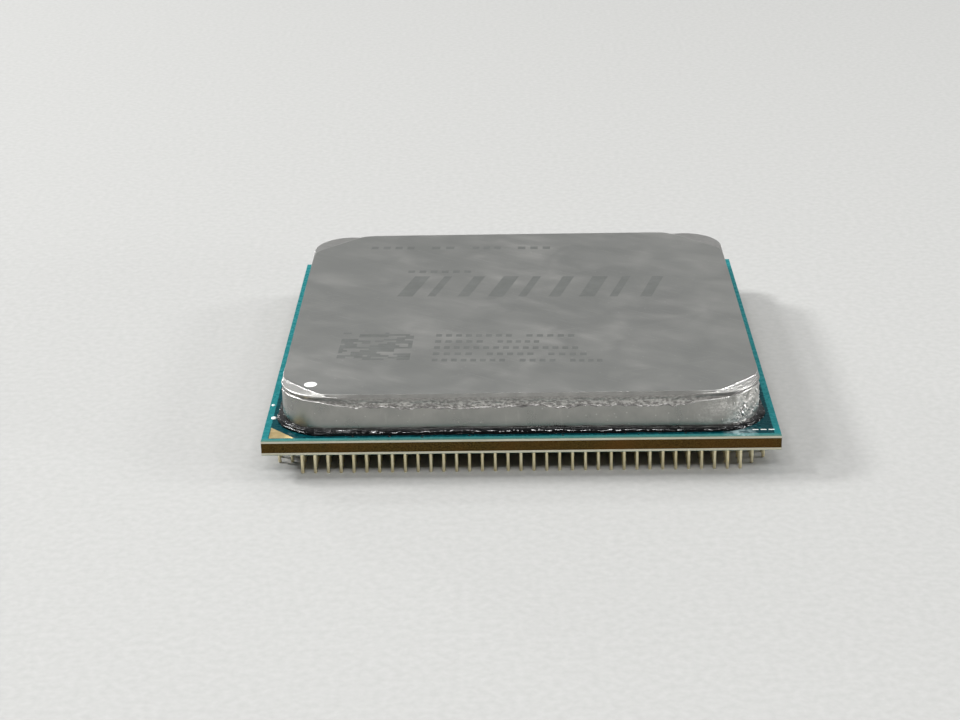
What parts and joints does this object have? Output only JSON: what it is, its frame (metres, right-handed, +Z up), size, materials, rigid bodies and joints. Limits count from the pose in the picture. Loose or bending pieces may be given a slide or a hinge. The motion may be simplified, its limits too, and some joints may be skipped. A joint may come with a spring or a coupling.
{
  "type": "processor",
  "caption": "Lidded pin-grid processor: a flat metal heat spreader bonded over a die on a square laminate package, with a field of contact pins below.",
  "frame": {"origin": "centre of the package outline, on the plane of the pin tips", "axes": "+Z up, out of the lid; +X to the right and +Y to the back when the first pin's corner is at the front left, at -X -Y"},
  "size_m": [0.04, 0.04, 0.0065],
  "materials": {
    "nickel_plated_copper": "satin nickel plate over copper",
    "gold_flash": "thin gold plating",
    "black_silicone": "glossy cured silicone",
    "indium_solder": "soft dull solder",
    "die_back_film": "sputtered metal film",
    "silicon": "polished silicon",
    "bump_solder": "reflowed solder",
    "underfill_resin": "filled epoxy",
    "capacitor_ceramic": "fired ceramic",
    "tinned_terminal": "matte tin",
    "joint_solder": "bright reflowed solder",
    "pad_gold": "gold over nickel",
    "solder_mask_top": "dark teal solder mask, lighter at the border",
    "copper_foil": "rolled copper",
    "buildup_resin": "sawn cream resin",
    "glass_epoxy_core": "sawn brown glass-epoxy",
    "solder_mask_bottom": "dark teal solder mask",
    "triangle_gold": "gold over nickel",
    "white_ink": "printed ink",
    "pin_gold": "gold-plated nickel-iron alloy",
    "land_gold": "gold over nickel",
    "braze_solder": "reflowed solder"
  },
  "bodies": {
    "root": {"heat_spreader": "nickel_plated_copper", "lid_gold_patch": "gold_flash", "lid_seal": "black_silicone", "thermal_solder": "indium_solder", "die_back_metal": "die_back_film", "silicon_die": "silicon", "die_bumps": "bump_solder", "underfill": "underfill_resin", "capacitor_bodies": "capacitor_ceramic", "capacitor_terminals": "tinned_terminal", "capacitor_solder": "joint_solder", "capacitor_pads": "pad_gold", "top_solder_mask": "solder_mask_top", "top_copper_plane": "copper_foil", "top_buildup": "buildup_resin", "core_copper_top": "copper_foil", "substrate_core": "glass_epoxy_core", "core_copper_bottom": "copper_foil", "bottom_buildup": "buildup_resin", "bottom_copper_plane": "copper_foil", "bottom_solder_mask": "solder_mask_bottom", "first_pin_triangle_top": "triangle_gold", "first_pin_triangle_bottom": "triangle_gold", "printed_dashes": "white_ink", "pins_outer_front": "pin_gold", "pins_outer_back": "pin_gold", "pins_outer_left": "pin_gold", "pins_outer_right": "pin_gold", "pins_inner_front": "pin_gold", "pins_inner_back": "pin_gold", "pins_inner_left": "pin_gold", "pins_inner_right": "pin_gold", "pin_lands_front": "land_gold", "pin_lands_back": "land_gold", "pin_braze_front": "braze_solder", "pin_braze_back": "braze_solder"}
  },
  "joints": []
}
